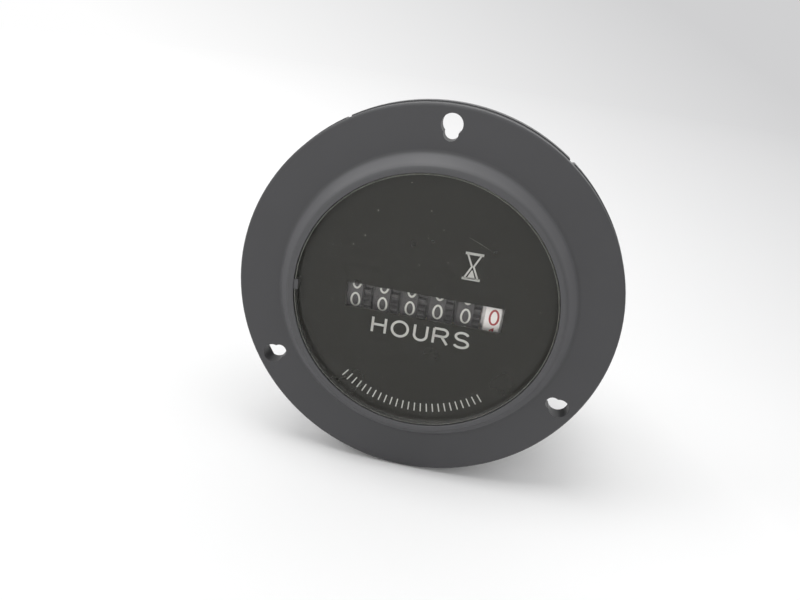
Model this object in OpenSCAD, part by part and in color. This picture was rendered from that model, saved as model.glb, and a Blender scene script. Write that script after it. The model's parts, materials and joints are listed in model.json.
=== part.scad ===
// Panel hour meter: a round bezel and case, a six-wheel counter behind a window and a quartz stepping motor.
// Millimetres. The origin is the centre of the flange's rear face, +Y runs back through the panel, +Z is up.

/* [Bezel] */
// Diameter of the bezel's flange
flange_d = 69.8; // [66:0.1:78]
// Thickness of the bezel's flange
flange_t = 3.1; // [2.4:0.1:4.5]
// Rounding of the flange's front edge
flange_round = 0.45; // [0.2:0.05:1]
// Width of the flat top of the raised ring
ring_top_w = 1.05; // [0.8:0.05:1.6]
// Width of the ring's sloping side
ring_slope_w = 2.1; // [1.2:0.1:2.6]
// Height of the raised ring above the flange
ring_h = 2.6; // [2:0.1:3.6]
// Rounding at the ring's foot
ring_foot_round = 1; // [0.3:0.1:1.4]
// Rounding at the ring's outer top edge
ring_top_round = 0.7; // [0.2:0.05:0.9]
// Width of the ledge that the dial plate rests on
ledge_w = 2.1; // [1.2:0.1:3]
// Least wall of the spigot that centres the bezel in the case
spigot_wall = 2; // [1.2:0.1:2.4]
// Length of that spigot
spigot_l = 1.5; // [0.8:0.1:2.2]

/* [Face] */
// Diameter of the lens
lens_d = 47.5; // [44:0.1:52]
// Thickness of the lens
lens_t = 2; // [1.4:0.1:2.6]
// Bevel round the lens's front edge
lens_bevel = 0.18; // [0.1:0.02:0.4]
// Depth of the lens below the top of the ring
lens_recess = 0.25; // [0.05:0.05:0.5]
// Thickness of the dial plate
dial_t = 0.4; // [0.2:0.1:0.8]
// Width of the window in the dial plate
window_w = 28.5; // [24:0.1:31]
// Height of the window in the dial plate
window_h = 4.65; // [3.5:0.05:6]
// Height of the window's middle above the case's axis
window_z = -0.5; // [-2:0.1:2]
// Width of the key that stops the lens and the dial from turning
key_w = 1.9; // [1:0.1:3]
// Depth of that key
key_depth = 0.7; // [0.4:0.05:1]

/* [Case] */
// How far the case's flange stands out past the bezel's
case_lip = 0.2; // [0:0.05:0.5]
// Thickness of the flange on the case
case_flange_t = 2.5; // [1.8:0.1:3.5]
// Diameter of the case behind the panel
body_d = 51.8; // [51.4:0.1:52.4]
// Wall of the case
body_wall = 1.6; // [1.2:0.1:1.8]
// Depth of the case behind the panel
body_depth = 30; // [27:0.5:40]
// Thickness of the back wall
back_t = 2; // [1.5:0.1:3]
// Rounding of the case's rear edge
back_round = 1.4; // [0.5:0.1:1.8]
// How far the case narrows towards its rear end, measured on the radius
taper_in = 1.6; // [0.5:0.1:2]
// Width of the small notches in the flange's rim
notch_w = 1.6; // [0.8:0.1:2.4]
// Depth of those notches
notch_depth = 0.8; // [0.4:0.1:1.2]
// Angle from one notch to the middle of its pair
notch_angle = 33.5; // [20:0.5:55]
// Angle from a mounting hole to the middle of the pair of notches beside it
notch_turn = 2.5; // [-5:0.5:5]

/* [Mounting holes] */
// Distance from the flange's rim to the middle of an outer lobe
hole_edge = 3.15; // [2.8:0.05:3.6]
// Diameter of the outer lobes
outer_hole_d = 3.7; // [3.4:0.05:3.8]
// Distance from the middle of an outer lobe in to that of its inner lobe
lobe_step = 1.5; // [1:0.05:1.6]
// Diameter of the inner lobes
inner_hole_d = 2.56; // [2.4:0.02:3.2]
// Room beside the holes in the slots through the case's flange
slot_room = 1.6; // [0.8:0.1:2.4]
// Rim of the case's flange outside those slots
slot_rim = 0.5; // [0.4:0.05:1]

/* [Counter] */
// Diameter of a number wheel
wheel_d = 12; // [11:0.1:12.6]
// Distance from one number wheel to the next
wheel_pitch = 5.08; // [5:0.01:5.2]
// Width of the band that carries the digits
band_w = 3.1; // [2.8:0.05:3.2]
// Width of the toothed ring on each wheel
toothed_w = 1.3; // [1:0.05:1.4]
// Depth of the wheels behind the front of the dial plate
window_gap = 1; // [0.7:0.1:2]
// Diameter of the wheel shaft
wheel_shaft_d = 2; // [1.5:0.1:2.4]
// Diameter of the shaft of the transfer pinions
pinion_shaft_d = 1.2; // [0.8:0.1:1.4]
// Thickness of the counter frame's walls
frame_t = 1; // [0.8:0.1:1.2]

/* [Gears] */
// Module of the counter's teeth
counter_module = 0.5; // [0.48:0.01:0.51]
// Module of the first reduction
first_module = 0.4; // [0.36:0.01:0.41]
// Module of the second reduction
second_module = 0.25; // [0.24:0.005:0.26]
// Width of a reduction gear
gear_w = 0.8; // [0.6:0.05:0.9]
// Diameter of the arbors
arbor_d = 1.2; // [0.8:0.1:1.4]
// Sideways play between two teeth in mesh
backlash = 0.1; // [0.06:0.01:0.14]

/* [Motor] */
// Diameter of the rotor magnet
magnet_d = 4.7; // [4:0.1:5]
// Length of the rotor magnet
magnet_l = 2.6; // [2:0.1:3]
// Air gap round the magnet
air_gap = 0.5; // [0.3:0.05:0.6]
// Thickness of the stator and of the coil's core
lamination_t = 1; // [0.6:0.1:1.2]
// Outer diameter of the winding
winding_d = 5.4; // [4.8:0.1:5.6]
// Length of the coil between its flanges
winding_l = 13.6; // [11:0.1:14]

/* [Electronics] */
// Thickness of the circuit board
board_t = 1.2; // [0.8:0.1:1.6]
// Gap between the circuit board and the back wall
board_gap = 2.2; // [1.6:0.1:3]
// Width of a terminal blade
blade_w = 6.35; // [4.8:0.05:6.35]
// Thickness of a terminal blade
blade_t = 0.8; // [0.6:0.05:1]
// Length of a terminal blade behind the case
blade_l = 9; // [7:0.5:12]
// Distance between the two terminal blades
blade_pitch = 13; // [11:0.5:16]

/* [Fits] */
// Radial clearance of anything that turns
run_gap = 0.05; // [0.02:0.01:0.08]
// Clearance round a piece that stays where it is put
fit_gap = 0.04; // [0.02:0.01:0.1]
// Clearance between pieces that pass each other
side_gap = 0.18; // [0.12:0.01:0.25]
// Clearance round the lens and the spigot
seat_gap = 0.1; // [0.05:0.05:0.2]

/* [Hidden] */
$fn = 64;

// How far a cut runs past the face that it leaves, and how far a joined shape runs into its neighbour
past = 1;
sink = 0.2;

// Levels from the panel forward
seam_y = -case_flange_t;
face_y = seam_y - flange_t;
ring_top_y = face_y - ring_h;
lens_front_y = ring_top_y + lens_recess;
dial_front_y = lens_front_y + lens_t;
ledge_y = dial_front_y + dial_t;

// Levels from the panel back
back_in_y = body_depth - back_t;
board_back_y = back_in_y - board_gap;
board_front_y = board_back_y - board_t;

// Radii of the case, of the face and of the ring round it
flange_r = flange_d / 2;
case_flange_r = flange_r + case_lip;
bore_r = body_d / 2 - body_wall;
lens_r = lens_d / 2;
lens_seat_r = lens_r + seat_gap;
key_r = lens_r - key_depth;
ring_top_r = lens_seat_r + ring_top_w;
ring_foot_r = ring_top_r + ring_slope_w;
spigot_r = bore_r - seat_gap;
throat_r = min(lens_seat_r - ledge_w, spigot_r - spigot_wall);
seat_round = 0.15;
spigot_round = 0.3;
case_rim_round = 0.4;
case_corner_round = 0.4;

// Mounting holes
hole_count = 3;
hole_step = 360 / hole_count;
outer_lobe_r = flange_r - hole_edge;
inner_lobe_r = outer_lobe_r - lobe_step;
slot_in_r = max(body_d / 2, inner_lobe_r - inner_hole_d / 2 - slot_room);
slot_w = outer_hole_d + 2 * slot_room;

// Pads round the terminals on the case's back
pad_w = 2.4;
pad_h = 0.8;

// Teeth: stubby involutes, which let a small pinion run without undercut
pressure = 25;
addendum = 0.7;
dedendum = 0.95;
flank_steps = 4;
counter_teeth = 20;
transfer_teeth = 8;
first_pinion_teeth = 10;
first_gear_teeth = 40;
second_pinion_teeth = 8;
second_gear_teeth = 48;
rotor_teeth = 8;
web_hole_r = 1.3;
web_hole_count = 5;

// Axes of the counter and its gear train, as [y, z]
wheel_axis = [dial_front_y + window_gap + wheel_d / 2, window_z];
transfer_angle = -60;
first_angle = 40;
second_angle = -42;
rotor_angle = 60.3;
transfer_axis = wheel_axis + mesh_offset(counter_module, counter_teeth, transfer_teeth, transfer_angle);
first_axis = wheel_axis + mesh_offset(counter_module, counter_teeth, first_pinion_teeth, first_angle);
second_axis = first_axis + mesh_offset(first_module, first_gear_teeth, second_pinion_teeth, second_angle);
rotor_axis = second_axis + mesh_offset(second_module, second_gear_teeth, rotor_teeth, rotor_angle);

// Number wheels, counted from the tenths at the right, with x measured from the middle of the digits
wheel_count = 6;
band_shift = 0.2;
band_left = -band_w / 2 - band_shift;
band_right = band_w / 2 - band_shift;
band_chamfer = 0.15;
toothed_right = band_right + toothed_w;
wheel_floor_t = 1.4;
wheel_hub_wall = 1.1;
wheel_hub_r = wheel_shaft_d / 2 + wheel_hub_wall;
wheel_rim_t = 0.6;
wheel_hollow_r = root_r(counter_teeth, counter_module) - wheel_rim_t;

// Carry teeth on the left of each number wheel, which pass close by the pinion's long teeth
transfer_tip_r = tip_r(transfer_teeth, counter_module);
carry_gap = 0.1;
carry_h = 0.3;
carry_tooth_w = 0.7;
carry_angle = 18;
carry_w = wheel_pitch - toothed_right + band_left - side_gap;
carry_left = band_left - carry_w;
carry_tip_r = norm(transfer_axis - wheel_axis) - transfer_tip_r - carry_gap;
carry_lock_r = carry_tip_r - carry_h;
carry_tooth_l = sqrt(pow(carry_tip_r, 2) - pow(carry_tooth_w / 2, 2));

// Counter frame and gear bridge, along x
cheek_in = wheel_x(0) + toothed_right + side_gap;
cheek_out = cheek_in + frame_t;
gear_gap = 0.3;
first_gear_x = cheek_out + gear_gap;
second_gear_x = first_gear_x + gear_w + gear_gap;
bridge_x = second_gear_x + gear_w + gear_gap;
bridge_out = bridge_x + frame_t;
bearing_r = 1.7;
bar_step = 0.4;
pinion_margin = 0.1;

// Bars of the counter frame, whose ends stop just inside the case
frame_gap = 0.25;
bar_w = 3.8;
bar_reach = 9.2;
bar_back_y = wheel_axis[0] + bar_reach;
bar_front_y = bar_back_y - frame_t;
bar_edge_z = sqrt(pow(bore_r - frame_gap, 2) - pow(cheek_out, 2));

// Outline of the counter frame's cheeks
nose_reach = 4.4;
nose_half_h = 7.8;
bar_flat = 3;
cheek_round = 1;
tail_gap = 0.8;
tail_round = 1.5;
pinion_room = 0.4;

// Slotted screws
screw_r = 0.9;
screw_head_r = 1.8;
screw_head_h = 1.2;
screw_bite = 7;
driver_slot_w = 0.5;
driver_slot_depth = 0.6;

// Pillars of the gear bridge, as [y, z], each set off from an axis by what it clears there
pillar_r = 1.5;
pillar_gap = 0.5;
wheel_pillar_reach = 6.6;
first_clear = tip_r(first_gear_teeth, first_module) + pillar_r + pillar_gap;
second_clear = tip_r(second_gear_teeth, second_module) + pillar_r + pillar_gap;
wheel_pillar_angle = -80;
first_pillar_angle = 30;
second_pillar_angle = -47;
pillars = [
    wheel_axis + wheel_pillar_reach * polar(wheel_pillar_angle),
    first_axis + first_clear * polar(first_pillar_angle),
    second_axis + second_clear * polar(second_pillar_angle)
];

// Rear end of the case, which narrows from behind the gear bridge, and the posts in it that carry the frame
taper_y = pillars[1][0] + screw_head_r + pillar_gap;
post_r = 2.3;
post_shoulder_r = 2.9;
post_wall_gap = 0.75;
post_reach = bore_at(back_in_y) - post_wall_gap - post_r;
post_z = bar_edge_z - bar_w / 2;
post_x = sqrt(pow(post_reach, 2) - pow(post_z, 2));

// Coil, which lies along z behind the wheels
core_w = 3;
bobbin_wall = 0.6;
bobbin_lip = 0.2;
bobbin_end_t = 0.8;
bobbin_r = winding_d / 2 + bobbin_lip;
bobbin_l = winding_l + 2 * bobbin_end_t;
coil_gap = 0.5;
coil_end_gap = 0.2;
coil_y = max(wheel_axis[0] + wheel_d / 2, transfer_axis[0] + transfer_tip_r) + coil_gap + bobbin_r;
coil_z = 0.4;
pin_r = 0.35;
pin_shift = 1.6;
pin_past = 1;
pin_z = [for (side = [-1, 1]) coil_z + side * (winding_l + bobbin_end_t) / 2];
lug_set_back = 1;
lug_l = 2.4;
lug_front_y = coil_y + lug_set_back;
lug_back_y = lug_front_y + lug_l;

// Stator, core and carrier of the motor
boss_l = 4.5;
boss_r = 2;
arm_w = 4;
arm_reach = bobbin_l / 2 + coil_end_gap;
arm_z = [for (side = [-1, 1]) coil_z + side * (arm_reach + arm_w / 2)];
arm_low_z = arm_z[0] - arm_w / 2;
arm_high_z = arm_z[1] + arm_w / 2;
stator_x = cheek_in - boss_l - lamination_t;
core_x = stator_x - lamination_t;
coil_x = core_x + lamination_t / 2;
pin_x = coil_x - pin_shift;
stator_hole_r = magnet_d / 2 + air_gap;
stator_rim = 0.6;
stator_neck = 0.35;
stator_front_y = rotor_axis[0] - stator_hole_r - stator_rim;
stator_back_y = rotor_axis[0] + stator_hole_r + stator_rim;
arm_round = 1;
stator_round = 2;
carrier_t = 1;
carrier_gap = 0.6;
carrier_x = coil_x - bobbin_r - carrier_gap - carrier_t;
rotor_arbor_r = 0.5;
rotor_sleeve_r = 0.9;
magnet_x = stator_x + (lamination_t - magnet_l) / 2;

// Pieces on the circuit board, placed as [x, z]
board_edge_gap = 0.5;
board_r = bore_at(board_back_y) - board_edge_gap;
chip_inset = 9.8;
resistor_rise = 8.2;
chip_at = [chip_inset - board_r, 0];
resistor_at = chip_at + [0, resistor_rise];
crystal_at = [-3, 12];
capacitor_at = [-1.4, 0];
diode_at = [-3, -12];

// Tab of a terminal, which goes through the circuit board
tab_w = 2.4;
tab_past = 0.8;

// Radius of the case's bore at depth y
function bore_at(y) = bore_r - taper_in * max(0, y - taper_y) / (body_depth - taper_y);

// Distance and direction from one axis to the axis of a gear that meshes with it
function polar(a) = [cos(a), sin(a)];
function mesh_offset(m, teeth_a, teeth_b, a) = m * (teeth_a + teeth_b) / 2 * polar(a);
function tip_r(teeth, m) = m * (teeth / 2 + addendum);
function root_r(teeth, m) = m * (teeth / 2 - dedendum);
function wheel_x(i) = ((wheel_count - 1) / 2 - i) * wheel_pitch;

// Half the angle that a tooth takes up at radius r
function involute(r, base) = let (a = acos(min(1, base / r))) tan(a) * 180 / PI - a;
function tooth_half(r, teeth, m) =
    let (pitch_r = m * teeth / 2, base = pitch_r * cos(pressure))
    90 / teeth - backlash / 4 / pitch_r * 180 / PI + involute(pitch_r, base) - involute(r, base);

// Outline of one tooth as [radius, angle] pairs, from its right root to its left root
function tooth(teeth, m) =
    let (
        root = root_r(teeth, m),
        tip = tip_r(teeth, m),
        base = m * teeth / 2 * cos(pressure),
        start = max(root, base),
        radii = [for (i = [0:flank_steps]) start + (tip - start) * i / flank_steps],
        foot = root < base ? [[root, tooth_half(start, teeth, m)]] : [],
        flank = concat(foot, [for (r = radii) [r, tooth_half(r, teeth, m)]])
    )
    concat([for (p = flank) [p[0], -p[1]]], [for (i = [len(flank) - 1:-1:0]) flank[i]]);

// Outline of a gear whose first tooth points along angle a, with only every nth tooth standing
function gear_points(teeth, m, a, every = 1) =
    let (root = root_r(teeth, m), full = tooth(teeth, m), gap = [full[0], full[len(full) - 1]])
    [
        for (t = [0:teeth - 1])
        for (p = t % every == 0 ? full : [[root, gap[0][1]], [root, gap[1][1]]])
        p[0] * polar(p[1] + a + 360 * t / teeth)
    ];

// Outline with rounded corners, from [x, y, radius] points
function turned(v, a) = [v[0] * cos(a) - v[1] * sin(a), v[0] * sin(a) + v[1] * cos(a)];
function flat(p) = [p[0], p[1]];
function corner(a, p, b, r, n) =
    r <= 0 ? [p] :
    let (
        u = (a - p) / norm(a - p),
        v = (b - p) / norm(b - p),
        half = acos(u * v) / 2,
        centre = p + (u + v) / norm(u + v) * r / sin(half),
        from = p + u * r / tan(half) - centre,
        sweep = (180 - 2 * half) * sign(u[1] * v[0] - u[0] * v[1])
    )
    [for (i = [0:n]) centre + turned(from, sweep * i / n)];
function rounded(pts, n = 6) =
    let (last = len(pts))
    [
        for (i = [0:last - 1])
        each corner(flat(pts[(i + last - 1) % last]), flat(pts[i]), flat(pts[(i + 1) % last]), pts[i][2], n)
    ];

// Profile of [radius, y] points turned about the meter's axis
module about_y(pts) {
    rotate([-90, 0, 0])
        rotate_extrude($fn = 128)
            polygon(pts);
}

// Profile of [radius, x] points turned about an axis along x
module about_x(pts) {
    rotate([0, 90, 0])
        rotate_extrude()
            polygon(pts);
}

// Plate drawn in x and z, from y0 back to y1
module plate_y(y0, y1) {
    translate([0, y1, 0])
        rotate([90, 0, 0])
            linear_extrude(y1 - y0)
                children();
}

// Plate drawn in y and z, from x0 across to x1
module plate_x(x0, x1) {
    translate([x0, 0, 0])
        rotate([90, 0, 90])
            linear_extrude(x1 - x0)
                children();
}

// Round bar along y at x and z
module rod_y(at, y0, y1, r) {
    translate([at[0], y0, at[1]])
        rotate([-90, 0, 0])
            cylinder(h = y1 - y0, r = r);
}

// Round bar along x at y and z
module rod_x(at, x0, x1, r) {
    translate([x0, at[0], at[1]])
        rotate([0, 90, 0])
            cylinder(h = x1 - x0, r = r);
}

// Flat bar from one [y, z] point to another
module bar_x(p, q, x0, x1, w) {
    side = turned((q - p) / norm(q - p), 90) * w / 2;
    plate_x(x0, x1)
        polygon([p + side, p - side, q - side, q + side]);
}

// Gear on an axis along x
module gear_x(at, x0, x1, teeth, m, a, every = 1) {
    translate([0, at[0], at[1]])
        plate_x(x0, x1)
            polygon(gear_points(teeth, m, a, every));
}

// One child at each mounting hole, turned so that +Z points at it
module at_holes() {
    for (i = [0:hole_count - 1])
        rotate([0, i * hole_step, 0])
            children();
}

// One child at each of the case's four posts
module at_posts() {
    for (sx = [-1, 1])
        for (sz = [-1, 1])
            translate([sx * post_x, 0, sz * post_z])
                children();
}

// Two-lobed hole, so that either bolt circle fits
module lobed_hole(y0, y1) {
    rod_y([0, outer_lobe_r], y0, y1, outer_hole_d / 2);
    rod_y([0, inner_lobe_r], y0, y1, inner_hole_d / 2);
}

// Wide slot through the case's flange, which keeps clear of the screw in either lobe
module relief_slot(y0, y1) {
    intersection() {
        rod_y([0, 0], y0, y1, case_flange_r - slot_rim, $fn = 128);
        translate([-slot_w / 2, y0, slot_in_r])
            cube([slot_w, y1 - y0, case_flange_r]);
    }
}

// Slotted cheese-head screw along z, its head standing on the origin and its shank below
module screw(l) {
    difference() {
        union() {
            cylinder(h = screw_head_h, r = screw_head_r);
            translate([0, 0, -l])
                cylinder(h = l + sink, r = screw_r);
        }
        translate([0, 0, screw_head_h])
            cube([driver_slot_w, 3 * screw_head_r, 2 * driver_slot_depth], center = true);
    }
}

// Screw along x with its head on x0, which points up the axis for a way of 1 and down it for -1
module screw_x(at, x0, l, way) {
    translate([x0, at[0], at[1]])
        rotate([0, way * 90, 0])
            screw(l);
}

// Straight slot with round ends, drawn flat
module slot_shape(l, w) {
    square([l - w, w], center = true);
    for (side = [-1, 1])
        translate([side * (l - w) / 2, 0])
            circle(d = w);
}

// One child at each terminal
module at_terminals() {
    for (side = [-1, 1])
        translate([side * blade_pitch / 2, 0, 0])
            children();
}

module bezel() {
    color("dimgray")
        union() {
            difference() {
                about_y(rounded([
                    [throat_r, seam_y + spigot_l, 0],
                    [throat_r, ledge_y, 0],
                    [lens_seat_r, ledge_y, 0],
                    [lens_seat_r, ring_top_y, seat_round],
                    [ring_top_r, ring_top_y, ring_top_round],
                    [ring_foot_r, face_y, ring_foot_round],
                    [flange_r, face_y, flange_round],
                    [flange_r, seam_y, 0],
                    [spigot_r, seam_y, 0],
                    [spigot_r, seam_y + spigot_l, spigot_round]
                ]));
                at_holes()
                    lobed_hole(ring_top_y - past, seam_y + past);
            }
            translate([-lens_seat_r - sink, lens_front_y, -key_w / 2])
                cube([lens_seat_r + sink - key_r, ledge_y - lens_front_y, key_w]);
        }
}

// A disc of the face, with the notch that takes the key cut into it from y0 to y1
module keyed(y0, y1) {
    difference() {
        children();
        translate([-lens_d, y0 - past, -key_w / 2 - seat_gap])
            cube([lens_d - key_r + seat_gap, y1 - y0 + 2 * past, key_w + 2 * seat_gap]);
    }
}

module lens() {
    color([0.85, 0.9, 0.92, 0.3])
        keyed(lens_front_y, dial_front_y)
            about_y([
                [0, lens_front_y],
                [lens_r - lens_bevel, lens_front_y],
                [lens_r, lens_front_y + lens_bevel],
                [lens_r, dial_front_y],
                [0, dial_front_y]
            ]);
}

module dial_plate() {
    color([0.1, 0.1, 0.09])
        difference() {
            keyed(dial_front_y, ledge_y)
                rod_y([0, 0], dial_front_y, ledge_y, lens_r, $fn = 128);
            translate([0, 0, window_z])
                plate_y(dial_front_y - past, ledge_y + past)
                    square([window_w, window_h], center = true);
        }
}

module case() {
    shell = rounded([
        [bore_r, seam_y, 0],
        [case_flange_r, seam_y, 0],
        [case_flange_r, 0, case_rim_round],
        [body_d / 2, 0, 0],
        [body_d / 2, taper_y, 0],
        [body_d / 2 - taper_in, body_depth, back_round],
        [0, body_depth, 0],
        [0, back_in_y, 0],
        [bore_at(back_in_y), back_in_y, case_corner_round],
        [bore_r, taper_y, 0]
    ]);
    color([0.27, 0.27, 0.28])
        difference() {
            union() {
                about_y(shell);
                at_posts() {
                    rod_y([0, 0], bar_back_y, back_in_y + sink, post_r);
                    rod_y([0, 0], board_back_y, back_in_y + sink, post_shoulder_r);
                }
                at_terminals()
                    plate_y(body_depth - sink, body_depth + pad_h)
                        square([blade_t + 2 * pad_w, blade_w + 2 * pad_w], center = true);
            }
            at_holes()
                relief_slot(seam_y - past, past);
            at_holes()
                for (side = [-1, 1])
                    rotate([0, notch_turn + side * notch_angle, 0])
                        plate_y(seam_y - past, past)
                            polygon([
                                [0, case_flange_r - notch_depth],
                                [notch_w / 2, case_flange_r + sink],
                                [-notch_w / 2, case_flange_r + sink]
                            ]);
            at_posts()
                rod_y([0, 0], bar_back_y - past, bar_back_y + screw_bite + past, screw_r + fit_gap);
            at_terminals()
                plate_y(back_in_y - past, body_depth + pad_h + past)
                    square([blade_t + 2 * fit_gap, blade_w + 2 * fit_gap], center = true);
        }
}

// Outline of a cheek in y and z, widening from the wheels back to the bars
module cheek(x0, x1) {
    nose_y = wheel_axis[0] - nose_reach;
    plate_x(x0, x1)
        polygon(rounded([
            [nose_y, wheel_axis[1] - nose_half_h, cheek_round],
            [bar_front_y - bar_flat, -bar_edge_z, cheek_round],
            [bar_back_y, -bar_edge_z, 0],
            [bar_back_y, bar_edge_z, 0],
            [bar_front_y - bar_flat, bar_edge_z, cheek_round],
            [nose_y, wheel_axis[1] + nose_half_h, cheek_round]
        ]));
}

module counter_frame() {
    tail_y = board_front_y - tail_gap;
    spacer_x = wheel_x(wheel_count - 1) + carry_left - side_gap;
    rotor_room_r = tip_r(rotor_teeth, second_module) + pinion_room;
    color("gainsboro")
        difference() {
            union() {
                cheek(cheek_in, cheek_out);
                cheek(-cheek_out, -cheek_in);
                plate_x(cheek_in, cheek_out)
                    polygon(rounded([
                        [bar_front_y, arm_low_z, 0],
                        [tail_y, arm_low_z, tail_round],
                        [tail_y, arm_high_z, tail_round],
                        [bar_front_y, arm_high_z, 0]
                    ]));
                for (side = [-1, 1])
                    translate([0, 0, side * post_z])
                        plate_y(bar_front_y, bar_back_y)
                            square([2 * cheek_out, bar_w], center = true);
                for (p = pillars)
                    rod_x(p, cheek_out - sink, bridge_x, pillar_r);
                for (z = arm_z)
                    rod_x([coil_y, z], stator_x + lamination_t, cheek_in + sink, boss_r);
                rod_x(wheel_axis, -cheek_in - sink, spacer_x, wheel_hub_r);
            }
            rod_x(wheel_axis, -cheek_out - past, cheek_out + past, wheel_shaft_d / 2 + fit_gap);
            rod_x(transfer_axis, -cheek_out - past, cheek_out + past, pinion_shaft_d / 2 + fit_gap);
            for (axis = [first_axis, second_axis])
                rod_x(axis, cheek_in - past, cheek_out + past, arbor_d / 2 + run_gap);
            rod_x(rotor_axis, cheek_in - past, cheek_out + past, rotor_room_r);
            for (p = pillars)
                rod_x(p, cheek_in - past, bridge_x + past, screw_r + fit_gap);
            for (z = arm_z)
                rod_x([coil_y, z], stator_x - past, cheek_out + past, screw_r + fit_gap);
            at_posts()
                rod_y([0, 0], bar_front_y - past, bar_back_y + past, screw_r + side_gap);
        }
}

module frame_screws() {
    color("silver")
        at_posts()
            translate([0, bar_front_y, 0])
                rotate([90, 0, 0])
                    screw(frame_t + screw_bite);
}

module wheel_shaft() {
    color("silver")
        rod_x(wheel_axis, -cheek_out, cheek_out, wheel_shaft_d / 2);
}

// Number wheel i, with its toothed ring on the right and its carry teeth on the left
module number_wheel(i, mesh_angle) {
    bore = wheel_shaft_d / 2 + run_gap;
    floor_x = band_left + wheel_floor_t;
    translate([wheel_x(i), wheel_axis[0], wheel_axis[1]]) {
        about_x([
            [bore, carry_left],
            [carry_lock_r, carry_left],
            [carry_lock_r, band_left],
            [wheel_d / 2 - band_chamfer, band_left],
            [wheel_d / 2, band_left + band_chamfer],
            [wheel_d / 2, band_right - band_chamfer],
            [wheel_d / 2 - band_chamfer, band_right],
            [wheel_hollow_r, band_right],
            [wheel_hollow_r, floor_x],
            [wheel_hub_r, floor_x],
            [wheel_hub_r, toothed_right],
            [bore, toothed_right]
        ]);
        difference() {
            gear_x([0, 0], band_right - sink, toothed_right, counter_teeth, counter_module, mesh_angle);
            rod_x([0, 0], band_right - past, toothed_right + past, wheel_hollow_r);
        }
        for (side = [-1, 1])
            rotate([carry_angle * side, 0, 0])
                translate([carry_left, -carry_tooth_w / 2, 0])
                    cube([carry_w + sink, carry_tooth_w, carry_tooth_l]);
    }
}

module tenths_wheel() {
    color("whitesmoke") number_wheel(0, first_angle);
}

module units_wheel() {
    color([0.15, 0.15, 0.15]) number_wheel(1, transfer_angle);
}

module tens_wheel() {
    color([0.15, 0.15, 0.15]) number_wheel(2, transfer_angle);
}

module hundreds_wheel() {
    color([0.15, 0.15, 0.15]) number_wheel(3, transfer_angle);
}

module thousands_wheel() {
    color([0.15, 0.15, 0.15]) number_wheel(4, transfer_angle);
}

module ten_thousands_wheel() {
    color([0.15, 0.15, 0.15]) number_wheel(5, transfer_angle);
}

module pinion_shaft() {
    color("silver")
        rod_x(transfer_axis, -cheek_out, cheek_out, pinion_shaft_d / 2);
}

// Transfer pinion of wheel i: every second tooth reaches on to the carry teeth at its right
module transfer_pinion(i) {
    x0 = wheel_x(i) + band_right + pinion_margin;
    x_short = wheel_x(i) + toothed_right + pinion_margin;
    x1 = wheel_x(i - 1) + band_left - pinion_margin;
    gap_angle = transfer_angle + 180 + 180 / transfer_teeth;
    color("burlywood")
        difference() {
            union() {
                gear_x(transfer_axis, x0, x_short, transfer_teeth, counter_module, gap_angle);
                gear_x(transfer_axis, x0, x1, transfer_teeth, counter_module, gap_angle, 2);
            }
            rod_x(transfer_axis, x0 - past, x1 + past, pinion_shaft_d / 2 + run_gap);
        }
}

module transfer_pinion_1() {
    transfer_pinion(1);
}

module transfer_pinion_2() {
    transfer_pinion(2);
}

module transfer_pinion_3() {
    transfer_pinion(3);
}

module transfer_pinion_4() {
    transfer_pinion(4);
}

module transfer_pinion_5() {
    transfer_pinion(5);
}

module first_arbor() {
    color("silver")
        rod_x(first_axis, wheel_x(0) + band_right + pinion_margin, bridge_out, arbor_d / 2);
}

module first_pinion() {
    x0 = wheel_x(0) + band_right + pinion_margin;
    x1 = cheek_in - pinion_margin;
    gap_angle = first_angle + 180 + 180 / first_pinion_teeth;
    color("goldenrod")
        difference() {
            gear_x(first_axis, x0, x1, first_pinion_teeth, counter_module, gap_angle);
            rod_x(first_axis, x0 - past, x1 + past, arbor_d / 2 + fit_gap);
        }
}

// Lightening holes midway between a gear's hub and the roots of its teeth
module web_holes(at, x0, x1, hub_r, teeth, m) {
    reach = (hub_r + root_r(teeth, m)) / 2;
    for (i = [0:web_hole_count - 1])
        rod_x(at + reach * polar(i * 360 / web_hole_count), x0 - past, x1 + past, web_hole_r);
}

module first_gear() {
    x1 = first_gear_x + gear_w;
    color("goldenrod")
        difference() {
            gear_x(first_axis, first_gear_x, x1, first_gear_teeth, first_module, second_angle);
            rod_x(first_axis, first_gear_x - past, x1 + past, arbor_d / 2 + fit_gap);
            web_holes(first_axis, first_gear_x, x1, arbor_d / 2, first_gear_teeth, first_module);
        }
}

module second_arbor() {
    color("silver")
        rod_x(second_axis, cheek_in, bridge_out, arbor_d / 2);
}

module second_gear() {
    x0 = first_gear_x - pinion_margin;
    x1 = second_gear_x + gear_w;
    gap_angle = second_angle + 180 + 180 / second_pinion_teeth;
    hub_r = tip_r(second_pinion_teeth, first_module);
    color("ivory")
        difference() {
            union() {
                gear_x(second_axis, x0, second_gear_x + sink, second_pinion_teeth, first_module, gap_angle);
                gear_x(second_axis, second_gear_x, x1, second_gear_teeth, second_module, rotor_angle);
            }
            rod_x(second_axis, x0 - past, x1 + past, arbor_d / 2 + fit_gap);
            web_holes(second_axis, second_gear_x, x1, hub_r, second_gear_teeth, second_module);
        }
}

module rotor_arbor() {
    color("silver")
        rod_x(rotor_axis, carrier_x, bridge_out, rotor_arbor_r);
}

// Rotor magnet, centred in the stator's thickness
module rotor_magnet() {
    color("gray")
        difference() {
            rod_x(rotor_axis, magnet_x, magnet_x + magnet_l, magnet_d / 2);
            rod_x(rotor_axis, magnet_x - past, magnet_x + magnet_l + past, rotor_arbor_r + fit_gap);
        }
}

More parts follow.
